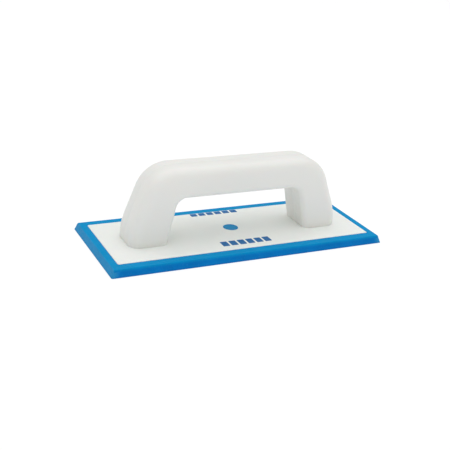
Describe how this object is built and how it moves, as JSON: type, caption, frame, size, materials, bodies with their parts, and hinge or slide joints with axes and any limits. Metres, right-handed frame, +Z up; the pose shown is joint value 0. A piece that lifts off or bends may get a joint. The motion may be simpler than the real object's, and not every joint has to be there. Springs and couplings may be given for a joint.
{
  "type": "rubber float",
  "caption": "Rubber-faced hand float for spreading grout and smoothing: rubber sole round a flat plate, with a closed D-shaped handle.",
  "frame": {"origin": "centre of the rubber working face, on the surface that the float rests on", "axes": "+X along the float's length, +Y to the rear across its width, +Z up through the handle"},
  "size_m": [0.25, 0.103, 0.0713],
  "materials": {
    "blue_rubber": "moulded, semi-matt",
    "plate_plastic": "moulded, fine satin",
    "handle_plastic": "moulded, satin, off-white",
    "zinc_steel": "zinc plated"
  },
  "bodies": {
    "root": {"rubber_pad": "blue_rubber", "backing_plate": "plate_plastic", "handle_front_shell": "handle_plastic", "handle_rear_shell": "handle_plastic", "handle_screws": "zinc_steel"}
  },
  "joints": []
}
